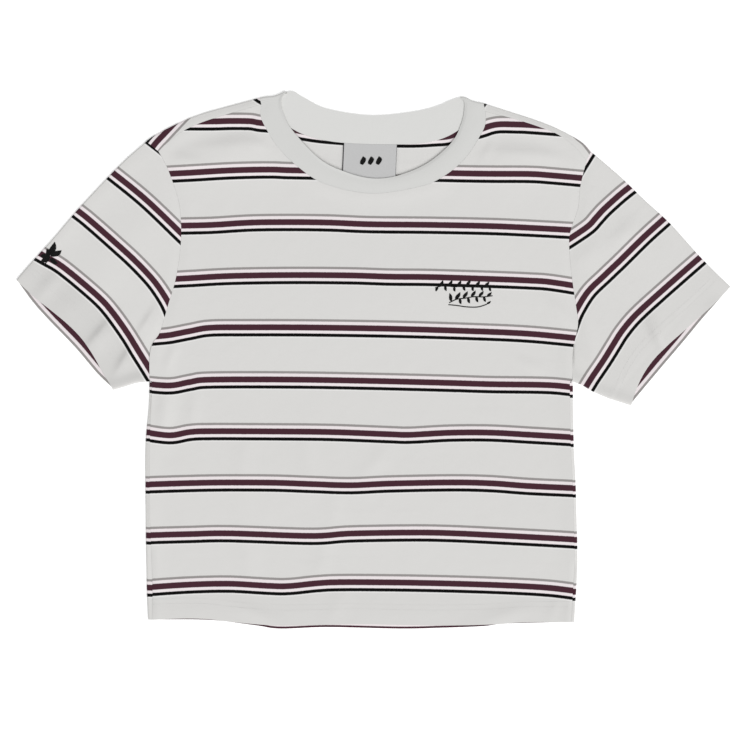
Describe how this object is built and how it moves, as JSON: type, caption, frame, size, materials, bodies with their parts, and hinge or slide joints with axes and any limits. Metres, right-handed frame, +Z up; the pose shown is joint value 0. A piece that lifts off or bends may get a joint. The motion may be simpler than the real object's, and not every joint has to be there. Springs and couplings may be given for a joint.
{
  "type": "t-shirt",
  "caption": "Cropped crew-neck T-shirt with short sleeves in horizontally striped jersey, laid flat with its front up.",
  "frame": {"origin": "on the surface that the shirt lies on, under the middle of its outline", "axes": "+Z up out of the shirt's front, +Y towards its collar, +X to the right as seen from above"},
  "size_m": [0.6999, 0.5295, 0.0051],
  "materials": {
    "striped_jersey": "matte cotton jersey, off-white with stripes in grey, maroon and black",
    "plain_rib": "matte cotton rib, off-white",
    "woven_label": "grey woven tape, slightly smooth"
  },
  "bodies": {
    "root": {"front_panel": "striped_jersey", "back_panel": "striped_jersey", "sleeve_left": "striped_jersey", "sleeve_right": "striped_jersey", "neck_rib": "plain_rib", "neck_label": "woven_label"}
  },
  "joints": []
}
